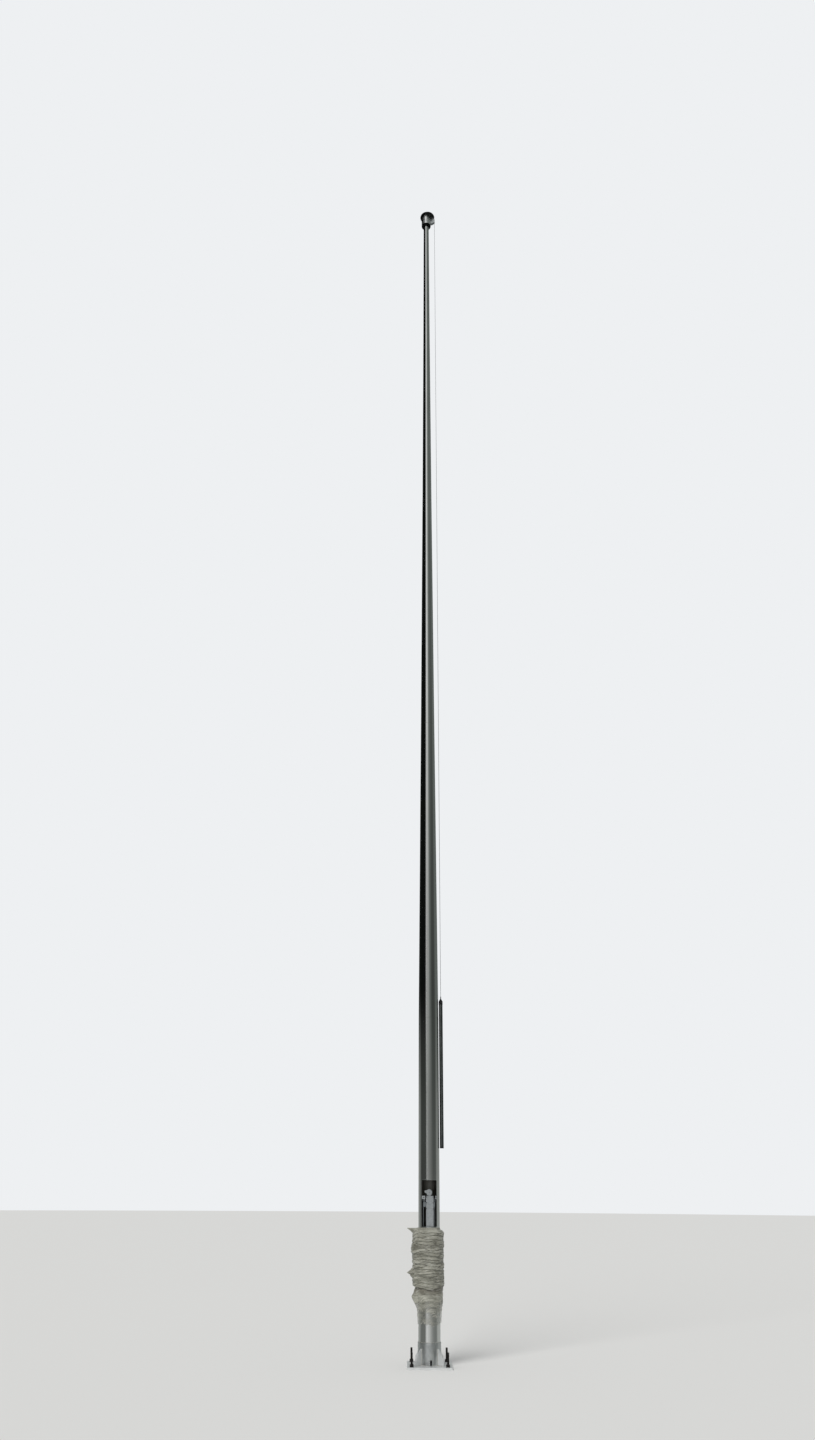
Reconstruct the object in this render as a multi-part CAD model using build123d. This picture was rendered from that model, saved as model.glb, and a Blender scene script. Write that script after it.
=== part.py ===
from build123d import *
from math import sqrt
import os

os.makedirs("parts", exist_ok=True)

# Heights are above the mounting face, which is the underside of the base flange.

# Base flange, foot sleeve, gussets and anchor bolts.
flange_side = 400.0
flange_thick = 18.0
flange_corner = 10.0
bolt_pitch = 320.0
bolt_radius = 10.0
bolt_hole_clearance = 2.0
bolt_stand = 110.0
washer_radius = 18.5
washer_thick = 3.0
nut_across_flats = 30.0
nut_height = 18.0
sleeve_thick = 5.0
sleeve_top = 191.0
sleeve_chamfer = 2.0
gusset_thick = 8.0
gusset_height = 127.0
gusset_toe_height = 47.0
gusset_reach = 70.0
gusset_tip = 8.0
drain_width = 16.5
drain_height = 45.0
drain_x = 11.0

# Pole: a straight base section, then four cones with butt joints.
base_radius = 100.0
wall = 4.0
base_top = 3000.0
lower_top = 6300.0
lower_radius = 77.5
middle_top = 9500.0
middle_radius = 58.5
upper_top = 12500.0
upper_radius = 44.5
tube_top = 14684.0
top_radius = 38.0

# Access opening in the base section, on the -Y side.
opening_width = 145.0
opening_low = 1110.0
opening_over_gear = 137.0
opening_corner = 10.0
frame_thick = 3.0
frame_depth = 14.0

# Winch behind the opening.
shelf_height = 1090.0
shelf_thick = 6.0
drum_height = 1330.0
drum_core_radius = 28.0
drum_flange_radius = 40.0
drum_half_width = 46.0
drum_flange_thick = 4.0
coil_thick = 4.0
cheek_thick = 5.0
cheek_gap = 5.0
cheek_half_depth = 24.0
cheek_above_axle = 24.0
axle_radius = 8.0
axle_running_gap = 0.05
axle_end = 6.0
gear_over_axle = 43.0
gear_left = -31.0
gear_right = 43.0
gear_front = -72.0
gear_back = -30.0
gear_rib_thick = 4.0
gear_rib_depth = 3.0
gear_rib_pitch = 12.0
gear_rib_count = 5
arm_thick = 6.0
arm_height = 40.0
arm_under_axle = 10.0
boss_radius = 29.0
boss_front = -66.0
boss_back = -40.0
boss_neck = 30.0
pawl_reach = 43.0
pawl_root = 46.0
pawl_tip = 14.0
pawl_rise = 8.0
pawl_thick = 5.0
pawl_eye = 23.0
crank_socket = 5.0

# Lugs at the sides of the opening that take the door's screws.
lug_height = 28.0
lug_thick = 6.0
lug_front = -66.0
left_lug_reach = 31.5
right_lug_reach = 11.5
lug_screw_radius = 3.0

# Halyard, sheave and hanging weight.
wire_radius = 2.0
weight_gap = 6.0
sheave_half_width = 9.0
sheave_lip = 3.0
groove_half_width = 2.2
groove_mouth = 5.0
weight_radius = 19.0
weight_wall = 4.0
weight_low = 1800.0
weight_high = 3140.0
guide_lip = 1.0
guide_height = 32.0
guide_peak = 62.0
end_plug_height = 12.0

# Turning crown.
bush_thick = 6.0
wire_bore = 12.0
hub_radius = 68.0
hub_wall = 4.0
hub_skirt = 24.0
hub_web = 6.0
hub_sleeve_gap = 0.5
hub_sleeve_wall = 5.0
slot_half_width = 28.0
slot_sill = 4.0
sheave_under_gap = 13.5
sheave_over_gap = 9.5
side_plate_thick = 4.0
side_plate_gap = 5.0
side_plate_lip = 1.5
side_lug_half = 48.0
plate_radius = 106.0
plate_shift = 18.0
plate_thick = 4.0
cap_radius = 72.0
cap_rise = 44.0
cap_thick = 2.5

# Loose film left around the foot of the pole: a thick upper wrap and a thin lower one.
film_thick = 1.2
film_tie = 20.0
film_shoulder = 25.0
film_tie_high = 1105.0
film_low = 633.0
film_bulge = 41.0
skirt_tie_high = 1035.0
skirt_low = 330.0
skirt_bulge = 26.0
skirt_low_bulge = 12.0


def tube_between(radius_low, radius_high, z_low, z_high, thick):
    """A straight or tapered tube with open ends."""
    with BuildPart() as made:
        with BuildSketch(Plane.XZ):
            with BuildLine():
                Polyline(
                    (radius_low - thick, z_low),
                    (radius_low, z_low),
                    (radius_high, z_high),
                    (radius_high - thick, z_high),
                    close=True,
                )
            make_face()
        revolve(axis=Axis.Z)
    return made.part


def ring(radius_in, radius_out, z_low, z_high):
    """A flat ring or a straight tube."""
    return tube_between(radius_out, radius_out, z_low, z_high, radius_out - radius_in)


def cylinder_x(radius, x_low, x_high, y, z):
    """A solid bar along X."""
    return Plane(origin=(x_low, y, z), z_dir=(1, 0, 0)) * extrude(Circle(radius), x_high - x_low)


def cylinder_y(radius, x, y_low, y_high, z):
    """A solid bar along Y."""
    return Plane(origin=(x, y_low, z), z_dir=(0, 1, 0)) * extrude(Circle(radius), y_high - y_low)


def cylinder_z(radius, x, y, z_low, z_high):
    """A solid bar along Z."""
    return Pos(x, y, z_low) * extrude(Circle(radius), z_high - z_low)


def block(x_low, x_high, y_low, y_high, z_low, z_high):
    """A box between two corners."""
    made = Box(x_high - x_low, y_high - y_low, z_high - z_low, align=(Align.MIN, Align.MIN, Align.MIN))
    return Pos(x_low, y_low, z_low) * made


def save(shape, node):
    """Write one named piece."""
    export_step(shape, "parts/" + node + ".step")


# Base flange with four bolt holes.
with BuildPart() as flange:
    Box(flange_side, flange_side, flange_thick, align=(Align.CENTER, Align.CENTER, Align.MIN))
    fillet(flange.edges().filter_by(Axis.Z), flange_corner)
    chamfer(flange.faces().sort_by(Axis.Z)[-1].edges(), 1.5)
    with GridLocations(bolt_pitch, bolt_pitch, 2, 2):
        Hole(bolt_radius + bolt_hole_clearance)
save(flange.part, "base_flange")

# The drain notch is cut through the sleeve and the base section, from the flange up.
notch_side = drain_width / 2
notch_mid = flange_thick + drain_height - notch_side
notch_cutter = block(
    drain_x - notch_side, drain_x + notch_side, -base_radius * 2, -base_radius / 2, flange_thick, notch_mid
)
notch_cutter = notch_cutter + cylinder_y(notch_side, drain_x, -base_radius * 2, -base_radius / 2, notch_mid)

# Sleeve that thickens the foot of the pole.
sleeve_radius = base_radius + sleeve_thick
foot_sleeve = ring(base_radius, sleeve_radius, flange_thick, sleeve_top)
sleeve_rim = foot_sleeve.edges().group_by(Axis.Z)[-1].sort_by(SortBy.RADIUS)[-1]
foot_sleeve = chamfer(sleeve_rim, sleeve_chamfer)
save(foot_sleeve - notch_cutter, "base_sleeve")

# Gussets on the flange's diagonals, trimmed to the sleeve's surface.
sleeve_cutter = cylinder_z(sleeve_radius, 0, 0, 0, gusset_height * 2)
with BuildPart() as gusset:
    with BuildSketch(Plane.XZ):
        with BuildLine():
            Polyline(
                (base_radius, flange_thick),
                (sleeve_radius + gusset_reach, flange_thick),
                (sleeve_radius + gusset_reach, flange_thick + gusset_toe_height),
                (sleeve_radius + gusset_tip, flange_thick + gusset_height),
                (base_radius, flange_thick + gusset_height),
                close=True,
            )
        make_face()
    extrude(amount=gusset_thick / 2, both=True)
one_gusset = gusset.part - sleeve_cutter
gussets = [Rot(0, 0, turn) * one_gusset for turn in (45, 135, 225, 315)]
save(Compound(children=gussets), "base_gussets")

# Anchor bolts, cut off flush with the mounting face, with washers and nuts.
bolt_places = list(GridLocations(bolt_pitch, bolt_pitch, 2, 2))
one_bolt = cylinder_z(bolt_radius, 0, 0, 0, flange_thick + bolt_stand)
one_bolt = chamfer(one_bolt.edges().sort_by(Axis.Z)[-1], 2)
one_washer = ring(bolt_radius, washer_radius, flange_thick, flange_thick + washer_thick)
nut_low = flange_thick + washer_thick
nut_outline = RegularPolygon(nut_across_flats / 2, 6, major_radius=False)
one_nut = Pos(0, 0, nut_low) * extrude(nut_outline - Circle(bolt_radius), nut_height)
nut_tip = nut_across_flats / 2
nut_corners = Cone(nut_tip + nut_height, nut_tip, nut_height, align=(Align.CENTER, Align.CENTER, Align.MIN))
one_nut = one_nut & (Pos(0, 0, nut_low) * nut_corners)
save(Compound(children=[place * one_bolt for place in bolt_places]), "anchor_bolts")
save(Compound(children=[place * one_washer for place in bolt_places]), "anchor_washers")
save(Compound(children=[place * one_nut for place in bolt_places]), "anchor_nuts")

# Straight base section with the access opening.
gear_top = drum_height + gear_over_axle
opening_high = gear_top + opening_over_gear
opening_mid = (opening_low + opening_high) / 2
opening_height = opening_high - opening_low
opening_plane = Plane(origin=(0, -base_radius - wall, opening_mid), x_dir=(1, 0, 0), z_dir=(0, -1, 0))
outer_shape = RectangleRounded(opening_width, opening_height, opening_corner)
inner_shape = RectangleRounded(
    opening_width - 2 * frame_thick, opening_height - 2 * frame_thick, opening_corner - frame_thick
)
opening_cutter = extrude(opening_plane * outer_shape, -base_radius)
base_section = ring(base_radius - wall, base_radius, flange_thick, base_top)
save(base_section - opening_cutter - notch_cutter, "pole_base_section")

# Lining of the opening, which follows the round of the pole.
lining = extrude(opening_plane * (outer_shape - inner_shape), -base_radius)
lining_band = ring(base_radius - frame_depth, base_radius, opening_low, opening_high)
save(lining & lining_band, "opening_frame")

# Tapered sections.
save(tube_between(base_radius, lower_radius, base_top, lower_top, wall), "pole_lower_section")
save(tube_between(lower_radius, middle_radius, lower_top, middle_top, wall), "pole_middle_section")
save(tube_between(middle_radius, upper_radius, middle_top, upper_top, wall), "pole_upper_section")
save(tube_between(upper_radius, top_radius, upper_top, tube_top, wall), "pole_top_section")

# Winch shelf across the inside of the pole.
shelf_radius = base_radius - wall
shelf_top = shelf_height + shelf_thick
save(cylinder_z(shelf_radius, 0, 0, shelf_height, shelf_top), "winch_shelf")

# The drum stands behind the wire, so that the wire meets the front of the coil.
coil_radius = drum_core_radius + coil_thick
drum_y = coil_radius + wire_radius
cheek_in = drum_half_width + cheek_gap
cheek_out = cheek_in + cheek_thick
cheek_hole = cylinder_x(axle_radius, -cheek_out, cheek_out, drum_y, drum_height)
cheeks = []
for side in (-1, 1):
    low, high = sorted((side * cheek_in, side * cheek_out))
    y_low, y_high = drum_y - cheek_half_depth, drum_y + cheek_half_depth
    plate = block(low, high, y_low, y_high, shelf_top, drum_height + cheek_above_axle)
    plate = fillet(plate.edges().filter_by(Axis.X).group_by(Axis.Z)[-1], 12)
    cheeks.append(plate - cheek_hole)
save(Compound(children=cheeks), "winch_cheeks")
axle_reach = cheek_out + axle_end
save(cylinder_x(axle_radius, -axle_reach, axle_reach, drum_y, drum_height), "drum_axle")

# Rope drum with two flanges, and the wire wound on it.
drum_core = cylinder_x(drum_core_radius, -drum_half_width, drum_half_width, drum_y, drum_height)
for side in (-1, 1):
    low, high = sorted((side * (drum_half_width - drum_flange_thick), side * drum_half_width))
    drum_core = drum_core + cylinder_x(drum_flange_radius, low, high, drum_y, drum_height)
drum_bore = cylinder_x(axle_radius + axle_running_gap, -cheek_in, cheek_in, drum_y, drum_height)
save(drum_core - drum_bore, "rope_drum")
coil_half = drum_half_width - drum_flange_thick
coil = cylinder_x(coil_radius, -coil_half, coil_half, drum_y, drum_height)
coil_hollow = cylinder_x(drum_core_radius, -coil_half, coil_half, drum_y, drum_height)
save(coil - coil_hollow, "rope_coil")

# Ribbed gear case in front of the wire, standing on the shelf.
case = block(gear_left, gear_right, gear_front, gear_back, shelf_top, gear_top)
case = fillet(case.edges().filter_by(Axis.Z).group_by(Axis.Y)[0], 5)
case = fillet(case.edges().group_by(Axis.Z)[-1], 2)
gear_mid = (gear_left + gear_right) / 2
for i in range(gear_rib_count):
    rib_x = gear_mid + (i - (gear_rib_count - 1) / 2) * gear_rib_pitch
    rib_low, rib_high = rib_x - gear_rib_thick / 2, rib_x + gear_rib_thick / 2
    rib_front = gear_front - gear_rib_depth
    case = case + block(rib_low, rib_high, rib_front, gear_front + 1, shelf_top, gear_top - 3)
save(case, "gear_case")

# Bracket behind the gear case that ties it to the drum's two side plates.
arm_back = gear_back + arm_thick
arm_high = drum_height - arm_under_axle
arm_low = arm_high - arm_height
cheek_front = drum_y - cheek_half_depth
arm = block(-cheek_out, cheek_out, gear_back, arm_back, arm_low, arm_high)
for side in (-1, 1):
    low, high = sorted((side * cheek_in, side * cheek_out))
    arm = arm + block(low, high, arm_back, cheek_front, arm_low, arm_high)
save(arm, "gear_arm")

# Round head on the gear case, on a short neck, with a square socket for the crank.
boss_height = gear_top + boss_radius
head = cylinder_y(boss_radius, 0, boss_front, boss_back, boss_height)
head = fillet(head.edges().sort_by(Axis.Y)[0], 3)
head = head + block(-boss_neck / 2, boss_neck / 2, boss_front + 3, boss_back, gear_top, boss_height)
socket_low, socket_high = boss_height - crank_socket, boss_height + crank_socket
socket = block(-crank_socket, crank_socket, boss_front - pawl_thick, boss_back - 8, socket_low, socket_high)
save(head - socket, "gear_boss")

# Pawl on the head's face, which tapers to a point on the left.
pawl_front = boss_front - pawl_thick
with BuildPart() as pawl:
    with BuildSketch(Plane.XZ.offset(-boss_front)):
        with BuildLine():
            Polyline(
                (0, boss_height - pawl_root / 2),
                (0, boss_height + pawl_root / 2),
                (-pawl_reach, boss_height + pawl_rise + pawl_tip / 2),
                (-pawl_reach, boss_height + pawl_rise - pawl_tip / 2),
                close=True,
            )
        make_face()
        with Locations((0, boss_height)):
            Circle(pawl_eye)
    extrude(amount=pawl_thick)
save(pawl.part - socket, "winch_pawl")

# Lugs inside the opening, one on each side of the lining.
lug_edge = opening_width / 2 - frame_thick
lug_high = gear_top
lug_low = lug_high - lug_height
lug_mid = (lug_low + lug_high) / 2
lug_back = lug_front + lug_thick
left_lug = block(-lug_edge, left_lug_reach - lug_edge, lug_front, lug_back, lug_low, lug_high)
right_lug = block(lug_edge - right_lug_reach, lug_edge, lug_front, lug_back, lug_low, lug_high)
left_screw = cylinder_y(lug_screw_radius, left_lug_reach / 2 - lug_edge, lug_front, lug_back, lug_mid)
right_screw = cylinder_y(lug_screw_radius, lug_edge - right_lug_reach / 2, lug_front, lug_back, lug_mid)
save(Compound(children=[left_lug - left_screw, right_lug - right_screw]), "hatch_lugs")

# Fixed bush that closes the top of the pole and carries the crown.
bush_top = tube_top + bush_thick
save(ring(wire_bore, top_radius, tube_top, bush_top), "top_bush")

# Heights and radii in the crown, worked up from the bush.
halyard_offset = base_radius + weight_gap + weight_radius
pitch_radius = halyard_offset / 2
root_radius = pitch_radius - wire_radius
rim_radius = pitch_radius + sheave_lip
web_top = bush_top + hub_web
sheave_height = web_top + sheave_under_gap + rim_radius
plate_height = sheave_height + rim_radius + sheave_over_gap

# Crown hub: outer wall, web resting on the bush, sleeve around the tube, slot for the sheave.
hub_low = tube_top - hub_skirt
hub_inner = hub_radius - hub_wall
sleeve_in = top_radius + hub_sleeve_gap
hub = ring(hub_inner, hub_radius, hub_low, plate_height)
hub = hub + ring(wire_bore, hub_radius - hub_wall / 2, bush_top, web_top)
hub = hub + ring(sleeve_in, sleeve_in + hub_sleeve_wall, hub_low, web_top)
hub_slot = block(
    0, hub_radius * 2, -slot_half_width, slot_half_width, web_top + slot_sill, plate_height
)
save(hub - hub_slot, "crown_hub")

# Sheave with a rounded groove. The wire runs down the pole's axis on one side of it.
with BuildPart() as sheave:
    with BuildSketch(Plane.XY):
        with BuildLine():
            Polyline(
                (axle_radius + axle_running_gap, -sheave_half_width),
                (rim_radius, -sheave_half_width),
                (rim_radius, -groove_mouth),
                (root_radius, -groove_half_width),
                (root_radius, groove_half_width),
                (rim_radius, groove_mouth),
                (rim_radius, sheave_half_width),
                (axle_radius + axle_running_gap, sheave_half_width),
                close=True,
            )
        make_face()
    revolve(axis=Axis.Y)
sheave_place = Pos(pitch_radius, 0, sheave_height)
save(sheave_place * sheave.part, "crown_sheave")

# Side plates of the sheave, hung under the crown plate, and the sheave's axle.
side_in = sheave_half_width + side_plate_gap
side_out = side_in + side_plate_thick
side_plate_radius = rim_radius + side_plate_lip
side_plates = []
for side in (-1, 1):
    low, high = sorted((side * side_in, side * side_out))
    lobe = cylinder_y(side_plate_radius, pitch_radius, low, high, sheave_height)
    x_low, x_high = pitch_radius - side_lug_half, pitch_radius + side_lug_half
    lug = block(x_low, x_high, low, high, sheave_height, plate_height)
    hole = cylinder_y(axle_radius, pitch_radius, low, high, sheave_height)
    side_plates.append(lobe + lug - hole)
save(Compound(children=side_plates), "sheave_side_plates")
axle_half = side_out + axle_end
save(cylinder_y(axle_radius, pitch_radius, -axle_half, axle_half, sheave_height), "sheave_axle")

# Crown plate and domed cap, both set off towards the sheave.
cap_base = plate_height + plate_thick
save(cylinder_z(plate_radius, plate_shift, 0, plate_height, cap_base), "crown_plate")
cap_sphere = (cap_radius ** 2 + cap_rise ** 2) / (2 * cap_rise)
cap_centre = cap_base + cap_rise - cap_sphere
cap_inner = cap_sphere - cap_thick
with BuildPart() as cap:
    with BuildSketch(Plane.XZ):
        with BuildLine():
            outer = RadiusArc((cap_radius, cap_base), (0, cap_base + cap_rise), -cap_sphere)
            drop = Line((0, cap_base + cap_rise), (0, cap_centre + cap_inner))
            edge = sqrt(cap_inner ** 2 - (cap_base - cap_centre) ** 2)
            inner = RadiusArc((0, cap_centre + cap_inner), (edge, cap_base), cap_inner)
            foot = Line((edge, cap_base), (cap_radius, cap_base))
        make_face()
    revolve(axis=Axis.Z)
save(Pos(plate_shift, 0, 0) * cap.part, "crown_cap")

# Halyard: a run inside the pole up from the drum, a half turn over the sheave, a fall outside.
save(cylinder_z(wire_radius, 0, 0, drum_height, sheave_height), "halyard_inner")
with BuildPart() as turn:
    with BuildSketch(Plane.XY):
        with Locations((pitch_radius, 0)):
            Circle(wire_radius)
    revolve(axis=Axis.Y, revolution_arc=180)
half_turn = sheave_place * turn.part
if half_turn.bounding_box().min.Z < sheave_height - wire_radius:
    half_turn = sheave_place * Rot(0, 180, 0) * turn.part
save(half_turn, "halyard_turn")
guide_top = weight_high + guide_peak
save(cylinder_z(wire_radius, halyard_offset, 0, guide_top, sheave_height), "halyard_fall")

# Weight tube on the end of the halyard, with a dark guide on top and a plug below.
weight = ring(weight_radius - weight_wall, weight_radius, weight_low, weight_high)
save(Pos(halyard_offset, 0, 0) * weight, "weight_tube")
guide_radius = weight_radius + guide_lip
with BuildPart() as guide:
    with BuildSketch(Plane.XZ):
        with BuildLine():
            Polyline(
                (0, weight_high),
                (guide_radius, weight_high),
                (guide_radius, weight_high + guide_height),
                (wire_radius * 2, guide_top),
                (0, guide_top),
                close=True,
            )
        make_face()
    revolve(axis=Axis.Z)
save(Pos(halyard_offset, 0, 0) * guide.part, "weight_guide")
end_plug = cylinder_z(weight_radius, halyard_offset, 0, weight_low - end_plug_height, weight_low)
save(fillet(end_plug.edges().sort_by(Axis.Z)[0], 4), "weight_plug")



def film_wrap(tie_high, shoulder, bulge, low, low_bulge):
    """A thin wrap: tied to the pole at its top, standing off below, open at the bottom."""
    tie_low = tie_high - film_tie
    side = [
        (base_radius, tie_high),
        (base_radius, tie_low),
        (base_radius + bulge * 0.85, tie_low - shoulder),
        (base_radius + bulge, tie_low - shoulder * 3),
        (base_radius + low_bulge, low),
    ]
    back = [(r + film_thick, z) for r, z in reversed(side)]
    with BuildPart() as made:
        with BuildSketch(Plane.XZ):
            with BuildLine():
                Polyline(*side, *back, close=True)
            make_face()
        revolve(axis=Axis.Z)
    return made.part


# Loose film round the foot of the pole.
save(film_wrap(film_tie_high, film_shoulder, film_bulge, film_low, film_bulge), "protective_film")
save(film_wrap(skirt_tie_high, film_shoulder, skirt_bulge, skirt_low, skirt_low_bulge), "film_skirt")
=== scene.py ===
from math import cos, hypot, pi, radians, sin, tau

import bpy
import numpy as np
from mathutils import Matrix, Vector


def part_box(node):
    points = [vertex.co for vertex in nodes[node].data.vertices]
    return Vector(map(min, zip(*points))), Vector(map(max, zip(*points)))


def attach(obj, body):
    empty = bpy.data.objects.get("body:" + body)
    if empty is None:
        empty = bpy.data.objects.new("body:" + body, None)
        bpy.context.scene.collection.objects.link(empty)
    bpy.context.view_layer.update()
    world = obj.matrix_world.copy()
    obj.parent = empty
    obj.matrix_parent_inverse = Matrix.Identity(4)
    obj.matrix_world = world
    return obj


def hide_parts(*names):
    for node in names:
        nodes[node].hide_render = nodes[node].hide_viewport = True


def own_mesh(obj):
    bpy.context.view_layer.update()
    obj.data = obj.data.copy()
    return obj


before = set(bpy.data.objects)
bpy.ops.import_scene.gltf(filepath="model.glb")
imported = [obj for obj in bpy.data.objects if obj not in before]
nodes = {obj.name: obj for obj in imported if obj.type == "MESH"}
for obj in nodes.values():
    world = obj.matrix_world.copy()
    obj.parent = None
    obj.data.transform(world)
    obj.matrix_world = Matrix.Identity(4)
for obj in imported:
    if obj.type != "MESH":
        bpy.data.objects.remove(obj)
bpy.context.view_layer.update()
scene = bpy.context.scene

# Everything is in metres, in the CAD's frame: +Z up, the hatch on -Y, the halyard on +X.
MM = 0.001
BASE_TUBE_RADIUS = 0.1
WIRE_RADIUS = 2 * MM
# A strand of the wire goes once round it in this length.
WIRE_LAY = 26 * MM
# The white that the camera and polished metal see all round.
SURROUND = "#EEF0F2"


def add_object(name, data):
    """A new object in the scene."""
    added = bpy.data.objects.new(name, data)
    scene.collection.objects.link(added)
    return added


# Camera.

def aim_camera():
    """A camera 1.4 m above the ground, 10.5 m in front of the pole, tipped up to take in its top."""
    data = bpy.data.cameras.new("camera")
    data.sensor_fit = "VERTICAL"
    data.sensor_height = 36.0
    data.lens = 25.0
    data.clip_end = 200.0
    camera = add_object("camera", data)
    camera.location = (-0.234, -10.5, 1.38)
    camera.rotation_mode = "XYZ"
    tip_up, roll = radians(90 + 25.4), radians(0.38)
    camera.rotation_euler = (tip_up, 0, 0)
    camera.rotation_euler.rotate_axis("Z", roll)
    scene.camera = camera


aim_camera()


# Materials.

def linear(hex_colour):
    """An sRGB hex colour as the linear colour that a shader takes."""
    parts = [int(hex_colour[i:i + 2], 16) / 255 for i in (1, 3, 5)]
    return [c / 12.92 if c <= 0.04045 else ((c + 0.055) / 1.055) ** 2.4 for c in parts] + [1.0]


def add_node(tree, kind, inputs, output=0, **settings):
    """Adds one shader node with its settings, gives each input a link, a hex colour or a number, and
    hands back one of its outputs."""
    node = tree.nodes.new("ShaderNode" + kind)
    for name, value in settings.items():
        setattr(node, name, value)
    for name, value in inputs.items():
        if isinstance(value, bpy.types.NodeSocket):
            tree.links.new(value, node.inputs[name])
        else:
            node.inputs[name].default_value = linear(value) if isinstance(value, str) else value
    return node.outputs[output]


def new_finish(name, metallic, roughness, **constants):
    """An empty material and its shader, whose fixed numbers sit on the shader's own sockets."""
    material = bpy.data.materials.new(name)
    material.use_nodes = True
    shader = material.node_tree.nodes["Principled BSDF"]
    shader.inputs["Metallic"].default_value = metallic
    shader.inputs["Roughness"].default_value = roughness
    for socket, value in constants.items():
        shader.inputs[socket.replace("_", " ")].default_value = value
    return material, material.node_tree, shader


def feed(tree, shader, **sockets):
    """Links patterns to the shader's sockets."""
    for socket, value in sockets.items():
        tree.links.new(value, shader.inputs[socket.replace("_", " ")])


def patches(tree, size_mm, low=0.35, high=0.65, to=(0.0, 1.0), stretch=(1, 1, 1), detail=4.0):
    """Soft patches size_mm across, drawn out along an axis where stretch is above 1. They go from
    to[0] to to[1] as the noise behind them goes from low to high."""
    place = add_node(tree, "TexCoord", {}, "Object")
    scale = [1000 / size_mm / s for s in stretch]
    place = add_node(tree, "Mapping", {"Vector": place, "Scale": scale})
    noise = add_node(tree, "TexNoise", {"Vector": place, "Scale": 1.0, "Detail": detail}, "Fac")
    limits = {"Value": noise, "From Min": low, "From Max": high, "To Min": to[0], "To Max": to[1]}
    return add_node(tree, "MapRange", limits)


def polished_stainless_tube(name, seams, dull_inside):
    """304 stainless, drawn and mirror-polished: long crisp reflections that waver a little, a faint
    lengthwise grain in its gloss, rain marks that run down it, a faintly duller band at each
    flush-ground seam, and a dull scaled inside within the radius dull_inside."""
    material, tree, shader = new_finish(name, 1.0, 0.12)
    place = add_node(tree, "TexCoord", {}, "Object")
    height = add_node(tree, "SeparateXYZ", {0: place}, "Z")
    nearest = None
    for seam in seams:
        off = add_node(tree, "Math", {0: height, 1: seam}, operation="SUBTRACT")
        off = add_node(tree, "Math", {0: off}, operation="ABSOLUTE")
        if nearest is not None:
            off = add_node(tree, "Math", {0: nearest, 1: off}, operation="MINIMUM")
        nearest = off
    limits = {"Value": nearest, "From Min": 2 * MM, "From Max": 11 * MM, "To Min": 0.3, "To Max": 0.0}
    band = add_node(tree, "MapRange", limits, interpolation_type="SMOOTHSTEP")
    across = add_node(tree, "VectorMath", {0: place, 1: (1, 1, 0)}, operation="MULTIPLY")
    radius = add_node(tree, "VectorMath", {0: across}, "Value", operation="LENGTH")
    inside = add_node(tree, "Math", {0: radius, 1: dull_inside}, operation="LESS_THAN")
    blotch = patches(tree, 260, 0.3, 0.7, stretch=(1, 1, 3))
    marks = patches(tree, 22, 0.55, 0.8, (0.0, 0.35), (1, 1, 45))
    tone = add_node(tree, "Mix", {0: blotch, 6: "#C9C9C6", 7: "#D2D2CF"}, 2, data_type="RGBA")
    tone = add_node(tree, "Mix", {0: marks, 6: tone, 7: "#B2B1AC"}, 2, data_type="RGBA")
    tone = add_node(tree, "Mix", {0: band, 6: tone, 7: "#B3B1AB"}, 2, data_type="RGBA")
    tone = add_node(tree, "Mix", {0: inside, 6: tone, 7: "#8F8C86"}, 2, data_type="RGBA")
    rough = add_node(tree, "Math", {0: marks, 1: 0.25, 2: 0.11}, operation="MULTIPLY_ADD")
    rough = add_node(tree, "Math", {0: band, 1: 0.25, 2: rough}, operation="MULTIPLY_ADD")
    rough = add_node(tree, "Math", {0: inside, 1: 0.34, 2: rough}, operation="MULTIPLY_ADD")
    # Polishing lines are a few microns apart. They are drawn 3 mm apart so that they show.
    grain = patches(tree, 3, 0.3, 0.7, (-0.02, 0.03), (1, 1, 160))
    rough = add_node(tree, "Math", {0: rough, 1: grain}, operation="ADD")
    skin = patches(tree, 80, 0.2, 0.8, stretch=(1, 1, 9), detail=1)
    bump = add_node(tree, "Bump", {"Height": skin, "Strength": 0.4, "Distance": 0.12 * MM})
    feed(tree, shader, Base_Color=tone, Roughness=rough, Normal=bump)
    return material


def belt_ground_stainless(name, dark, light, roughness, depth_mm):
    """Stainless with a belt-ground satin face: soft wide reflections and a fine one-way grain."""
    material, tree, shader = new_finish(name, 1.0, roughness)
    tone = add_node(tree, "Mix", {0: patches(tree, 60), 6: dark, 7: light}, 2, data_type="RGBA")
    rough = patches(tree, 25, to=(roughness - 0.07, roughness + 0.09))
    # Belt scratches are some hundredths of a millimetre apart. They are drawn 0.7 mm apart.
    skin = patches(tree, 0.7, 0.2, 0.8, stretch=(1, 1, 30))
    bump = add_node(tree, "Bump", {"Height": skin, "Strength": 0.6, "Distance": depth_mm * MM})
    feed(tree, shader, Base_Color=tone, Roughness=rough, Normal=bump)
    return material


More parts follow.
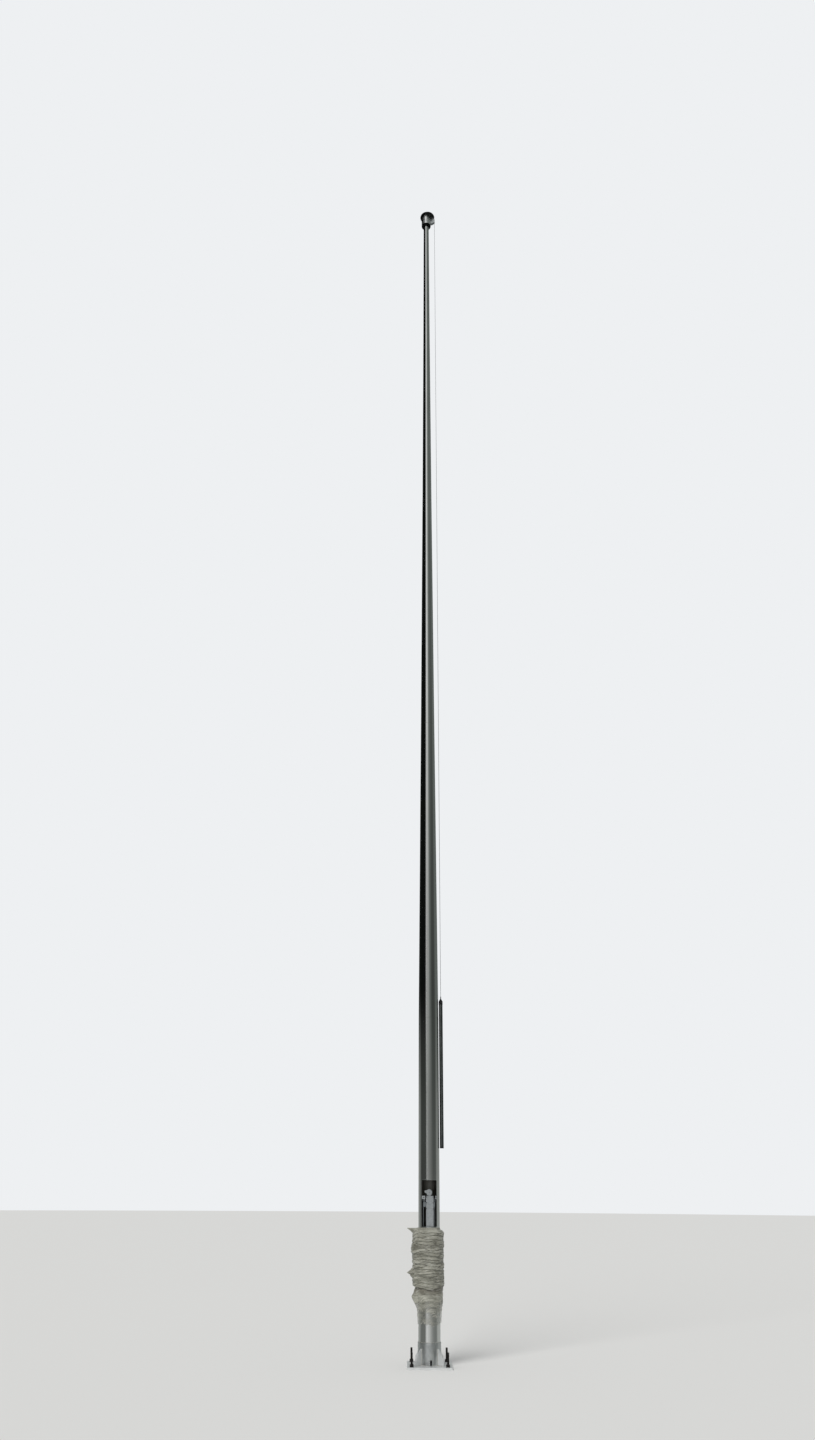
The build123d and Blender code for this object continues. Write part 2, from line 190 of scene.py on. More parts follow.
def pickled_plate():
    """Hot-rolled stainless plate, pickled and cut by plasma: a pale dull metal, faintly cloudy, with
    a fine grit and a little site dust on its top."""
    material, tree, shader = new_finish("pickled_stainless_plate", 0.5, 0.44)
    dust = patches(tree, 16, 0.6, 0.78, (0.0, 0.35), detail=8)
    cloud = patches(tree, 90, detail=2)
    tone = add_node(tree, "Mix", {0: cloud, 6: "#D6D8D7", 7: "#E2E4E3"}, 2, data_type="RGBA")
    tone = add_node(tree, "Mix", {0: dust, 6: tone, 7: "#C6BFAF"}, 2, data_type="RGBA")
    rough = add_node(tree, "Math", {0: dust, 1: 0.8, 2: 0.44}, operation="MULTIPLY_ADD")
    metal = add_node(tree, "Math", {0: dust, 1: -0.8, 2: 0.5}, operation="MULTIPLY_ADD")
    skin = patches(tree, 2.2)
    bump = add_node(tree, "Bump", {"Height": skin, "Strength": 0.5, "Distance": 0.12 * MM})
    feed(tree, shader, Base_Color=tone, Roughness=rough, Metallic=metal, Normal=bump)
    return material


def brushed_weld():
    """Stainless weld, brushed after welding: bright ripples with faint straw tints between."""
    material, tree, shader = new_finish("brushed_stainless_weld", 0.6, 0.42)
    tint = patches(tree, 9, 0.4, 0.66)
    tone = add_node(tree, "Mix", {0: tint, 6: "#D2D2CF", 7: "#BFB8A9"}, 2, data_type="RGBA")
    skin = patches(tree, 1.5)
    bump = add_node(tree, "Bump", {"Height": skin, "Strength": 0.6, "Distance": 0.1 * MM})
    feed(tree, shader, Base_Color=tone, Normal=bump)
    return material


def black_oxide_steel():
    """8.8 bolt steel with a black oxide finish, rained on: near black, oily, with rust freckles."""
    material, tree, shader = new_finish("black_oxide_steel", 0.85, 0.48)
    freckle = patches(tree, 4, 0.6, 0.7, detail=6)
    tone = add_node(tree, "Mix", {0: freckle, 6: "#2E2D2C", 7: "#4B3626"}, 2, data_type="RGBA")
    rough = add_node(tree, "Math", {0: freckle, 1: 0.33, 2: 0.42}, operation="MULTIPLY_ADD")
    skin = patches(tree, 1.2)
    bump = add_node(tree, "Bump", {"Height": skin, "Strength": 0.6, "Distance": 0.06 * MM})
    feed(tree, shader, Base_Color=tone, Roughness=rough, Normal=bump)
    return material


def tumbled_cast_aluminium():
    """Die-cast aluminium, tumbled: pale silver grey with an orange-peel skin."""
    material, tree, shader = new_finish("tumbled_cast_aluminium", 1.0, 0.38)
    cloud = patches(tree, 16, detail=6)
    tone = add_node(tree, "Mix", {0: cloud, 6: "#C9CCCE", 7: "#DFE1E3"}, 2, data_type="RGBA")
    skin = patches(tree, 2.2)
    bump = add_node(tree, "Bump", {"Height": skin, "Strength": 0.5, "Distance": 0.06 * MM})
    feed(tree, shader, Base_Color=tone, Roughness=patches(tree, 14, to=(0.3, 0.46)), Normal=bump)
    return material


def zinc_plated_steel():
    """Mild steel with bright zinc: a cool grey with a soft spangle, some grains duller."""
    material, tree, shader = new_finish("zinc_plated_steel", 1.0, 0.34)
    place = add_node(tree, "TexCoord", {}, "Object")
    # Grains 7 mm across.
    grains = add_node(tree, "TexVoronoi", {"Vector": place, "Scale": 1000 / 7}, "Color")
    fleck = add_node(tree, "SeparateColor", {0: grains}, "Red")
    tone = add_node(tree, "Mix", {0: fleck, 6: "#9EA3A6", 7: "#B1B5B8"}, 2, data_type="RGBA")
    rough = add_node(tree, "Math", {0: fleck, 1: 0.16, 2: 0.28}, operation="MULTIPLY_ADD")
    feed(tree, shader, Base_Color=tone, Roughness=rough)
    return material


def turned_aluminium(name, stretch):
    """Aluminium turned on a lathe: bright, with fine tool rings, close together along its axis."""
    material, tree, shader = new_finish(name, 1.0, 0.28)
    tone = add_node(tree, "Mix", {0: patches(tree, 20), 6: "#C6C8CA", 7: "#D8DADB"}, 2, data_type="RGBA")
    skin = patches(tree, 0.5, 0.2, 0.8, stretch=stretch)
    bump = add_node(tree, "Bump", {"Height": skin, "Strength": 0.6, "Distance": 0.03 * MM})
    feed(tree, shader, Base_Color=tone, Normal=bump)
    return material


def moulded_black_nylon():
    """Black nylon, moulded: a soft sheen and a fine moulded skin."""
    material, tree, shader = new_finish("moulded_black_nylon", 0.0, 0.42, IOR=1.53)
    tone = add_node(tree, "Mix", {0: patches(tree, 12), 6: "#0F0F10", 7: "#19191B"}, 2, data_type="RGBA")
    skin = patches(tree, 0.6)
    bump = add_node(tree, "Bump", {"Height": skin, "Strength": 0.5, "Distance": 0.03 * MM})
    feed(tree, shader, Base_Color=tone, Roughness=patches(tree, 6, to=(0.36, 0.52)), Normal=bump)
    return material


def epdm_rubber():
    """Black EPDM rubber, extruded: dull, with grey dust in its pores."""
    material, tree, shader = new_finish("black_epdm_rubber", 0.0, 0.72, IOR=1.5)
    dust = patches(tree, 3, 0.5, 0.75, detail=6)
    tone = add_node(tree, "Mix", {0: dust, 6: "#101011", 7: "#2C2B29"}, 2, data_type="RGBA")
    skin = patches(tree, 0.9)
    bump = add_node(tree, "Bump", {"Height": skin, "Strength": 0.6, "Distance": 0.06 * MM})
    feed(tree, shader, Base_Color=tone, Normal=bump)
    return material


def galvanised_wire_rope(name, axis_x):
    """Galvanised 7-strand wire, 4 mm: six outer strands that twist once round in 26 mm, with painted
    shade in the grooves between them."""
    material, tree, shader = new_finish(name, 1.0, 0.36)
    place = add_node(tree, "TexCoord", {}, "Object")
    x = add_node(tree, "SeparateXYZ", {0: place}, "X")
    y = add_node(tree, "SeparateXYZ", {0: place}, "Y")
    z = add_node(tree, "SeparateXYZ", {0: place}, "Z")
    x = add_node(tree, "Math", {0: x, 1: axis_x}, operation="SUBTRACT")
    turn = add_node(tree, "Math", {0: y, 1: x}, operation="ARCTAN2")
    turn = add_node(tree, "Math", {0: z, 1: tau / WIRE_LAY, 2: turn}, operation="MULTIPLY_ADD")
    strand = add_node(tree, "Math", {0: turn, 1: 6.0}, operation="MULTIPLY")
    strand = add_node(tree, "Math", {0: strand}, operation="SINE")
    crown = add_node(tree, "Math", {0: strand, 1: 0.5, 2: 0.5}, operation="MULTIPLY_ADD")
    # Painted shade: the grooves between the strands are darker than their crowns.
    tone = add_node(tree, "Mix", {0: crown, 6: "#55585A", 7: "#C4C7C9"}, 2, data_type="RGBA")
    bump = add_node(tree, "Bump", {"Height": crown, "Strength": 0.5, "Distance": 0.35 * MM})
    feed(tree, shader, Base_Color=tone, Normal=bump)
    return material


def galvanised_strand():
    """The same wire where its strands are modelled: dull zinc grey, a little uneven."""
    material, tree, shader = new_finish("galvanised_wire_strand", 1.0, 0.34)
    tone = add_node(tree, "Mix", {0: patches(tree, 2.5), 6: "#8B8F91", 7: "#BFC2C4"}, 2, data_type="RGBA")
    skin = patches(tree, 0.4)
    bump = add_node(tree, "Bump", {"Height": skin, "Strength": 0.5, "Distance": 0.02 * MM})
    feed(tree, shader, Base_Color=tone, Normal=bump)
    return material


def spun_crown_steel(name, roughness, black_inside=0.0, black_below=0.0):
    """Spun stainless with a soft polish. Its inside and underside are painted black as painted shade,
    so that they read as a hollow from the ground. The painted shade covers what is within the radius
    black_inside or under the height black_below."""
    material, tree, shader = new_finish(name, 1.0, roughness)
    place = add_node(tree, "TexCoord", {}, "Object")
    height = add_node(tree, "SeparateXYZ", {0: place}, "Z")
    across = add_node(tree, "VectorMath", {0: place, 1: (1, 1, 0)}, operation="MULTIPLY")
    radius = add_node(tree, "VectorMath", {0: across}, "Value", operation="LENGTH")
    inside = add_node(tree, "Math", {0: radius, 1: black_inside}, operation="LESS_THAN")
    below = add_node(tree, "Math", {0: height, 1: black_below}, operation="LESS_THAN")
    black = add_node(tree, "Math", {0: inside, 1: below}, operation="MAXIMUM")
    tone = add_node(tree, "Mix", {0: patches(tree, 40), 6: "#D0D0CD", 7: "#DEDEDB"}, 2, data_type="RGBA")
    # Painted shade: what lies inside or underneath is made near black, where it would be in shade.
    tone = add_node(tree, "Mix", {0: black, 6: tone, 7: "#0B0B0C"}, 2, data_type="RGBA")
    rough = patches(tree, 18, to=(roughness - 0.02, roughness + 0.03))
    rough = add_node(tree, "Math", {0: black, 1: 0.3, 2: rough}, operation="MULTIPLY_ADD")
    metal = add_node(tree, "Math", {0: 1.0, 1: black}, operation="SUBTRACT")
    feed(tree, shader, Base_Color=tone, Roughness=rough, Metallic=metal)
    return material


def wound_stretch_film():
    """Stretch film, LDPE, hand-wound in many layers: a greyed cream, half-clear skin, with patches of
    site dirt, and painted shade in its creases, which leaves its folds paler."""
    material, tree, shader = new_finish(
        "wound_polyethylene_film", 0.0, 0.3, IOR=1.51,
        Subsurface_Weight=0.25, Subsurface_Scale=0.01, Subsurface_Radius=(1.0, 0.93, 0.84),
    )
    # Painted shade: the deeper a crease, the darker its colour, up to three quarters of the way to a dark
    # grey brown.
    crease = add_node(tree, "VertexColor", {}, "Color", layer_name="crease")
    limits = {"Value": crease, "From Min": 0.25, "From Max": 1.0, "To Max": 0.75}
    shaded = add_node(tree, "MapRange", limits)
    cloud = patches(tree, 42, 0.34, 0.66, stretch=(2.2, 2.2, 1), detail=6)
    dirt = patches(tree, 11, 0.55, 0.75, (0.0, 0.4), (4, 4, 1), 6)
    tone = add_node(tree, "Mix", {0: cloud, 6: "#7B7A6F", 7: "#A3A297"}, 2, data_type="RGBA")
    tone = add_node(tree, "Mix", {0: dirt, 6: tone, 7: "#5F5C50"}, 2, data_type="RGBA")
    tone = add_node(tree, "Mix", {0: shaded, 6: tone, 7: "#525047"}, 2, data_type="RGBA")
    rough = patches(tree, 42, 0.3, 0.7, (0.36, 0.2), (2.2, 2.2, 1))
    skin = patches(tree, 6, 0.2, 0.8, stretch=(5, 5, 1))
    bump = add_node(tree, "Bump", {"Height": skin, "Strength": 0.6, "Distance": 0.9 * MM})
    feed(tree, shader, Base_Color=tone, Roughness=rough, Normal=bump)
    return material


def thin_stretch_film(torn_edge, doubled):
    """One or two layers of the same film: taupe above the height doubled, where it is many layers,
    and clear enough near the height torn_edge for the tube's bright line to show through."""
    material, tree, shader = new_finish("thin_polyethylene_film", 0.0, 0.2, IOR=1.51)
    place = add_node(tree, "TexCoord", {}, "Object")
    height = add_node(tree, "SeparateXYZ", {0: place}, "Z")
    cloud = patches(tree, 34, stretch=(2.5, 2.5, 1), detail=6)
    tone = add_node(tree, "Mix", {0: cloud, 6: "#868579", 7: "#ACAB9F"}, 2, data_type="RGBA")
    limits = {"Value": height, "From Min": torn_edge, "From Max": doubled, "To Min": 0.3, "To Max": 0.95}
    cover = add_node(tree, "MapRange", limits, interpolation_type="SMOOTHSTEP")
    limits = {"Value": height, "From Min": doubled - 0.04, "From Max": doubled + 0.02}
    many = add_node(tree, "MapRange", limits, interpolation_type="SMOOTHSTEP")
    tone = add_node(tree, "Mix", {0: many, 6: tone, 7: "#737065"}, 2, data_type="RGBA")
    ripple = patches(tree, 34, 0.3, 0.7, (-0.18, 0.18), (2.5, 2.5, 1))
    cover = add_node(tree, "Math", {0: cover, 1: ripple}, operation="ADD")
    fold = add_node(tree, "VertexColor", {}, "Color", layer_name="crease")
    fold = add_node(tree, "MapRange", {"Value": fold, "From Min": 0.5, "From Max": 1.0, "To Max": 0.6})
    cover = add_node(tree, "Math", {0: fold, 1: 0.5, 2: cover}, operation="MULTIPLY_ADD", use_clamp=True)
    tone = add_node(tree, "Mix", {0: fold, 6: tone, 7: "#D6D3CB"}, 2, data_type="RGBA")
    skin = patches(tree, 6, 0.2, 0.8, stretch=(5, 5, 1))
    bump = add_node(tree, "Bump", {"Height": skin, "Strength": 0.6, "Distance": 0.8 * MM})
    feed(tree, shader, Base_Color=tone, Alpha=cover, Normal=bump)
    return material


# Making pieces.

def make_piece(name, points, faces, material, body):
    """A smooth-shaded mesh piece from its points and faces, with a finish, riding on a CAD body."""
    mesh = bpy.data.meshes.new(name)
    mesh.from_pydata([tuple(p) for p in points], [], faces)
    mesh.validate()
    mesh.polygons.foreach_set("use_smooth", [True] * len(mesh.polygons))
    mesh.materials.append(material)
    piece = add_object(name, mesh)
    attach(piece, body)
    return piece


def paint(mesh, name, colours):
    """Gives each point of a mesh one of the colours, in order, for its finish to read."""
    layer = mesh.color_attributes.new(name, "FLOAT_COLOR", "POINT")
    layer.data.foreach_set("color", np.ravel(colours))


def grid_faces(rows, columns, closed=True, start=0):
    """Four-sided faces between neighbouring rows of points, closed round into a tube or left open."""
    faces = []
    last = columns if closed else columns - 1
    for i in range(rows - 1):
        for j in range(last):
            k = (j + 1) % columns
            low, high = start + i * columns, start + (i + 1) * columns
            faces.append((low + j, low + k, high + k, high + j))
    return faces


class Build:
    """Collects the points and faces of one piece made of several like forms."""

    def __init__(self):
        self.points = []
        self.faces = []

    def rings(self, rings):
        """A tube through rings of points, with its ends filled."""
        start, columns = len(self.points), len(rings[0])
        for ring in rings:
            self.points.extend(ring)
        self.faces.extend(grid_faces(len(rings), columns, start=start))
        self.faces.append(tuple(start + columns - 1 - j for j in range(columns)))
        top = start + (len(rings) - 1) * columns
        self.faces.append(tuple(top + j for j in range(columns)))

    def lathe(self, profile, centre, axis, steps=32):
        """A closed turned form: profile is (distance along the axis, radius), from end to end."""
        along = Vector(axis).normalized()
        side = along.orthogonal().normalized()
        up = along.cross(side)
        rings = []
        for offset, radius in profile:
            middle = Vector(centre) + along * offset
            rings.append([
                tuple(middle + (side * cos(tau * j / steps) + up * sin(tau * j / steps)) * radius)
                for j in range(steps)
            ])
        self.rings(rings)


def socket_screw(build, centre, axis, across, height):
    """A screw head with a rounded edge and a round socket, seated on centre."""
    r = across / 2
    head = [(0, r), (height * 0.72, r), (height * 0.94, r * 0.9), (height, r * 0.78)]
    socket = [(height, r * 0.5), (height * 0.45, r * 0.46), (height * 0.4, r * 0.05)]
    build.lathe(head + socket, centre, axis, 24)


def axle_clip(build, centre, axis):
    """A round clip with a broken edge on an axle's end, seated on centre."""
    build.lathe([(0, 12 * MM), (1.5 * MM, 12 * MM), (1.6 * MM, 8 * MM)], centre, axis)


def threaded_rod(build, x, y, low, high, radius, pitch):
    """A bolt shank with its rolled thread as a real helix, and a chamfer at the tip."""
    steps, rows_per_turn = 20, 5
    thread_depth, chamfer_depth, chamfer_height = 1.2 * MM, 2.2 * MM, 1.6 * MM
    rows = int((high - low) / pitch * rows_per_turn)
    rings = []
    for i in range(rows + 1):
        z = low + (high - low) * i / rows
        tip = min(1.0, (high - z) / chamfer_height)
        ring = []
        for j in range(steps):
            angle = tau * j / steps
            phase = (z / pitch - j / steps) % 1
            depth = abs(phase - 0.5) * 2 * thread_depth
            r = min(radius - depth, radius - chamfer_depth * (1 - tip))
            ring.append((x + r * cos(angle), y + r * sin(angle), z))
        rings.append(ring)
    build.rings(rings)


def twisted_wire(build, path, strands=6, columns=18):
    """A wire with its strands as lobes that twist along the path."""
    rings, walked = [], 0.0
    side = None
    for i, point in enumerate(path):
        ahead = path[min(i + 1, len(path) - 1)] - path[max(i - 1, 0)]
        ahead.normalize()
        if side is None:
            side = ahead.orthogonal().normalized()
        side = (side - ahead * side.dot(ahead)).normalized()
        up = ahead.cross(side)
        if i:
            walked += (path[i] - path[i - 1]).length
        turn = tau * walked / WIRE_LAY
        ring = []
        for j in range(columns):
            angle = tau * j / columns
            r = WIRE_RADIUS * (0.86 + 0.14 * cos(strands * (angle - turn)))
            ring.append(tuple(point + (side * cos(angle) + up * sin(angle)) * r))
        rings.append(ring)
    build.rings(rings)


def weld_bead(build, path, normals, leg, seed):
    """A fillet weld along a path: a rounded strip with the ripples of each short run."""
    wobble = np.random.default_rng(seed)
    rings = []
    for i, (point, normal) in enumerate(zip(path, normals)):
        ahead = (path[min(i + 1, len(path) - 1)] - path[max(i - 1, 0)]).normalized()
        up = normal.cross(ahead).normalized()
        size = leg * (0.88 + 0.1 * abs(sin(i * 0.9)) + 0.05 * wobble.random())
        ring = []
        for j in range(8):
            angle = tau * j / 8
            ring.append(tuple(point + (normal * cos(angle) + up * sin(angle)) * size * 0.62))
        rings.append(ring)
    build.rings(rings)


# CAD nodes and their finishes.

def top_of(node):
    """The height of a CAD node's top."""
    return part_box(node)[1].z


tube_nodes = [
    "pole_base_section", "pole_lower_section", "pole_middle_section", "pole_upper_section",
    "pole_top_section",
]
seam_heights = [top_of(node) for node in tube_nodes[:-1]]
hub_low, hub_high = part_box("crown_hub")
plate_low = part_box("crown_plate")[0]

tube_finish = polished_stainless_tube("polished_stainless_tube", seam_heights, 0.0)
within_base = BASE_TUBE_RADIUS - 2 * MM
base_tube_finish = polished_stainless_tube("polished_stainless_base_tube", seam_heights, within_base)
sleeve_finish = belt_ground_stainless("belt_ground_sleeve", "#BDBFBE", "#D2D4D3", 0.4, 0.03)
weight_finish = belt_ground_stainless("belt_ground_weight_tube", "#6E7170", "#828584", 0.2, 0.006)
plate_finish = pickled_plate()
bolt_finish = black_oxide_steel()
cast_finish = tumbled_cast_aluminium()
zinc_finish = zinc_plated_steel()
nylon_finish = moulded_black_nylon()
rubber_finish = epdm_rubber()
weld_finish = brushed_weld()
strand_finish = galvanised_strand()

finishes = {
    "base_flange": plate_finish,
    "base_sleeve": sleeve_finish,
    "base_gussets": plate_finish,
    "anchor_washers": bolt_finish,
    "anchor_nuts": bolt_finish,
    "opening_frame": sleeve_finish,
    "hatch_lugs": cast_finish,
    "winch_shelf": zinc_finish,
    "winch_cheeks": zinc_finish,
    "gear_arm": zinc_finish,
    "drum_axle": zinc_finish,
    "rope_drum": turned_aluminium("turned_aluminium_drum", (1, 60, 60)),
    "gear_case": cast_finish,
    "gear_boss": cast_finish,
    "winch_pawl": cast_finish,
    "top_bush": nylon_finish,
    "crown_sheave": turned_aluminium("turned_aluminium_sheave", (60, 1, 60)),
    "sheave_axle": zinc_finish,
    "sheave_side_plates": belt_ground_stainless("belt_ground_side_plate", "#B2B4B4", "#C3C5C5", 0.36, 0.006),
    "crown_hub": spun_crown_steel("spun_crown_hub", 0.26, hub_high.x - 3 * MM, hub_low.z + 1.5 * MM),
    "crown_plate": spun_crown_steel("spun_crown_plate", 0.18, 0.0, plate_low.z + 1 * MM),
    "crown_cap": spun_crown_steel("spun_crown_cap", 0.18),
    "halyard_inner": galvanised_wire_rope("galvanised_wire_inner", 0.0),
    "weight_tube": weight_finish,
    "weight_guide": rubber_finish,
    "weight_plug": rubber_finish,
}
for node in tube_nodes:
    finishes[node] = tube_finish
finishes["pole_base_section"] = base_tube_finish
for node, finish in finishes.items():
    for slot in nodes[node].material_slots:
        slot.material = finish


# Foot: bolts and welds.

def anchor_rods():
    """Four threaded anchor rods."""
    low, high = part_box("anchor_bolts")
    radius, pitch = 10 * MM, 2.5 * MM
    reach = high.x - radius
    build = Build()
    for x in (-reach, reach):
        for y in (-reach, reach):
            threaded_rod(build, x, y, low.z, high.z, radius, pitch)
    rods = make_piece("anchor_rods", build.points, build.faces, bolt_finish, "mast")
    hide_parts("anchor_bolts")


def weld_ring(build, radius, height, leg, left_out, seed):
    """A weld round a tube. It starts and ends at the front and leaves out an angle between."""
    path, normals = [], []
    steps = 240
    front = radians(-84)
    for i in range(steps + 1):
        angle = front + left_out / 2 + (tau - left_out) * i / steps
        out = Vector((cos(angle), sin(angle), 0))
        path.append(out * radius + Vector((0, 0, height)))
        normals.append(out)
    weld_bead(build, path, normals, leg, seed)


def foot_welds():
    """Fillet welds round the sleeve's foot and head, and down both sides of each gusset."""
    build = Build()
    flange_top = top_of("base_flange")
    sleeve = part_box("base_sleeve")[1]
    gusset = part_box("base_gussets")[1]
    drain_notch = radians(24)
    weld_ring(build, sleeve.x, flange_top, 7 * MM, drain_notch, 1)
    weld_ring(build, BASE_TUBE_RADIUS, sleeve.z, 4 * MM, 0.0, 2)
    half_thick, toe_gap = 4 * MM, 4 * MM
    toe = hypot(gusset.x, gusset.y) - toe_gap
    steps = 40
    for quarter in range(4):
        angle = radians(45 + 90 * quarter)
        out = Vector((cos(angle), sin(angle), 0))
        across = Vector((-sin(angle), cos(angle), 0))
        for side in (-1, 1):
            face = across * side
            root = out * sleeve.x + face * half_thick + Vector((0, 0, flange_top))
            to_toe = out * (toe - sleeve.x)
            to_head = Vector((0, 0, gusset.z - flange_top))
            for reach, seed in ((to_toe, 10 + quarter), (to_head, 20 + quarter)):
                run = [root + reach * (i / steps) for i in range(steps + 1)]
                weld_bead(build, run, [face] * len(run), 4.5 * MM, seed)
    make_piece("foot_welds", build.points, build.faces, weld_finish, "mast")


# Winch.

def rope_turns():
    """The wire wound on the drum, turn beside turn."""
    low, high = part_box("rope_coil")
    centre = (low + high) / 2
    radius = (high.z - low.z) / 2 - WIRE_RADIUS
    turns = int((high.x - low.x) / (2 * WIRE_RADIUS))
    pitch = (high.x - low.x - 2 * WIRE_RADIUS) / turns
    steps = 40
    path = []
    for i in range(turns * steps + 1):
        angle = tau * i / steps
        x = low.x + WIRE_RADIUS + pitch * i / steps
        path.append(Vector((x, centre.y + radius * cos(angle), centre.z + radius * sin(angle))))
    build = Build()
    twisted_wire(build, path, columns=8, strands=4)
    turns_piece = make_piece("rope_turns", build.points, build.faces, strand_finish, "drum")
    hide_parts("rope_coil")


def winch_screws():
    """Socket screws in the gear case and the hatch lugs, and clips on the drum's axle."""
    build = Build()
    low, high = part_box("gear_case")
    front, across = (0, -1, 0), 9 * MM
    inset, sunk = 6 * MM, 3 * MM
    for x in (low.x + inset, high.x - inset):
        for below_top in (10 * MM, 60 * MM, 110 * MM):
            socket_screw(build, (x, low.y + sunk, high.z - below_top), front, across, 5 * MM)
    low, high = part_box("hatch_lugs")
    left_screw, right_screw = low.x + 15.75 * MM, high.x - 5.75 * MM
    for x in (left_screw, right_screw):
        socket_screw(build, (x, low.y, (low.z + high.z) / 2), front, across, 4 * MM)
    low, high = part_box("drum_axle")
    middle = (low + high) / 2
    cheek_face = 56 * MM
    for side in (-1, 1):
        axle_clip(build, Vector((side * cheek_face, middle.y, middle.z)), (side, 0, 0))
    make_piece("winch_screws", build.points, build.faces, zinc_finish, "mast")


# Crown and halyard.

def halyard_over_sheave():
    """The wire over the sheave, with its strands."""
    low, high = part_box("halyard_turn")
    radius = (high.x - low.x) / 2 - WIRE_RADIUS
    centre = Vector(((low.x + high.x) / 2, 0, low.z))
    path = []
    for i in range(91):
        angle = radians(2 * i)
        path.append(centre + Vector((-radius * cos(angle), 0, radius * sin(angle))))
    build = Build()
    twisted_wire(build, path)
    piece = make_piece("halyard_over_sheave", build.points, build.faces, strand_finish, "crown")
    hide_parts("halyard_turn")


def halyard_outside():
    """The wire's fall outside the pole, drawn at one length; it shortens as the weight is wound up."""
    low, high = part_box("halyard_fall")
    x = (low.x + high.x) / 2
    rows, columns = 60, 12
    rings = []
    for i in range(rows + 1):
        z = low.z + (high.z - low.z) * i / rows
        ring = []
        for j in range(columns):
            angle = tau * j / columns
            ring.append((x + WIRE_RADIUS * cos(angle), WIRE_RADIUS * sin(angle), z))
        rings.append(ring)
    build = Build()
    build.rings(rings)
    finish = galvanised_wire_rope("galvanised_wire_outer", x)
    piece = make_piece("halyard_outside", build.points, build.faces, finish, "crown")
    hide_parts("halyard_fall")
    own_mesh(piece)


def weight_ferrule():
    """The crimped sleeve that ends the wire in the weight's guide."""
    low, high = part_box("weight_guide")
    x = (low.x + high.x) / 2
    sunk = 2 * MM
    build = Build()
    crimped = [(0, 5 * MM), (3 * MM, 5.4 * MM), (18 * MM, 5.2 * MM)]
    tapered = [(22 * MM, 3.4 * MM), (24 * MM, 2.2 * MM)]
    build.lathe(crimped + tapered, (x, 0, high.z - sunk), (0, 0, 1))
    make_piece("weight_ferrule", build.points, build.faces, cast_finish, "weight")


def crown_screws():
    """Three grub screws round the hub's skirt, and clips on the sheave's axle."""
    build = Build()
    radius, height = hub_high.x - 0.4 * MM, hub_low.z + 12 * MM
    for angle in (radians(-60), radians(60), radians(180)):
        out = Vector((cos(angle), sin(angle), 0))
        socket_screw(build, out * radius + Vector((0, 0, height)), out, 8 * MM, 1.2 * MM)
    low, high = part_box("sheave_axle")
    middle = (low + high) / 2
    plate_face = 18 * MM
    for side in (-1, 1):
        axle_clip(build, Vector((middle.x, side * plate_face, middle.z)), (0, side, 0))
    make_piece("crown_screws", build.points, build.faces, zinc_finish, "crown")


# Film.

def puffed(theta, z, radius, long, tall, seed, tilt):
    """Puffs between creases, from 0 in a crease to 1 on top: the cells round scattered points,
    long round the pole and short up it, as a tight hand-wound wrap has them."""
    chance = np.random.default_rng(seed)
    low, high = z.min(), z.max()
    count = int(tau * radius * (high - low) / (long * tall))
    at = chance.uniform(-pi, pi, count)
    height = chance.uniform(low, high, count)
    lean = z + tilt * np.sin(2 * theta + seed) + 0.4 * tilt * np.sin(5 * theta + 3 * seed + z * 20)
    near = np.full(theta.shape, 1e9)
    second = np.full(theta.shape, 1e9)
    for a, h in zip(at, height):
        across = ((theta - a + pi) % tau - pi) * radius / long
        away = np.hypot(across, (lean - h) / tall)
        second = np.minimum(second, np.maximum(away, near))
        near = np.minimum(near, away)
    return np.clip((second - near) / 0.34, 0, 1) ** 0.7


def flap(theta, z, at, height, wide, tall):
    """How far each point lies into a loose corner of film, a doubled edge that stands out like a
    fin: 0 outside it and 1 at its tip."""
    around = np.abs((theta - at + pi) % tau - pi)
    across = np.clip(1.4 * (1 - around / wide), 0, 1)
    return across * np.clip(1 - np.abs(z - height) / tall, 0, 1) ** 1.3


def film_grid(columns, rows, low, high):
    """Angles and heights of a wrap's points, with its lower edge at the heights that low gives."""
    around = np.linspace(-pi, pi, columns, endpoint=False)
    theta, share = np.meshgrid(around, np.linspace(0, 1, rows))
    edge = low(theta)
    return theta, edge + (high - edge) * share


def film_piece(name, theta, z, r, creases, finish, node):
    """A wrap from its angles, heights, radii and creases, in place of its plain CAD solid. The
    creases, from 0 to 1, go on the mesh for the finish to read."""
    points = np.stack([r * np.cos(theta), r * np.sin(theta), z], -1).reshape(-1, 3)
    piece = make_piece(name, points, grid_faces(*theta.shape), finish, "mast")
    paint(piece.data, "crease", np.repeat(np.clip(creases, 0, 1).reshape(-1, 1), 4, axis=1))
    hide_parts(node)
    return piece


def upper_hem(theta):
    """The upper wrap's lower edge, which dips at the front."""
    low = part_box("protective_film")[0].z
    return low + 11 * MM - 33 * MM * np.cos(theta + radians(92)) + 4 * MM * np.sin(5 * theta)


def torn_hem(theta):
    """The lower wrap's lower edge."""
    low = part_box("film_skirt")[0].z
    torn = 5 * MM * np.sin(11 * theta) + 3 * MM * np.sin(29 * theta + 1)
    return low + 8 * MM * np.sin(3 * theta + 2) + torn


